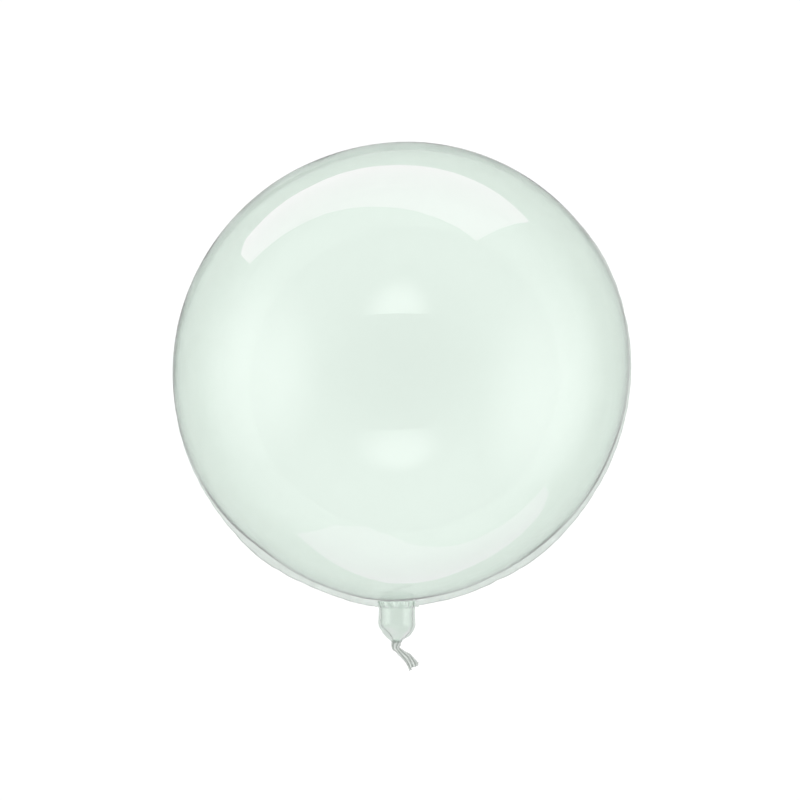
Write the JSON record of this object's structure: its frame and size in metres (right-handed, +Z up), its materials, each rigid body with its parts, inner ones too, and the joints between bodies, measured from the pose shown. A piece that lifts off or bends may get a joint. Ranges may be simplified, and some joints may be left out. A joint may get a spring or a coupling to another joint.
{
  "type": "clear bubble balloon",
  "caption": "Clear inflated bubble balloon with a welded edge seam, a puckered neck and a gathered tail, lying on its side.",
  "frame": {"origin": "middle of the small flat spot under the bubble that the balloon lies on", "axes": "+Z up, +Y from the neck through the bubble's middle to its crown, +X to the right seen from above with the neck nearest"},
  "size_m": [0.4658, 0.5333, 0.456],
  "materials": {
    "clear_film": "clear stretch film with a faint green tint, glossy"
  },
  "bodies": {
    "root": {"film_envelope": "clear_film"}
  },
  "joints": []
}
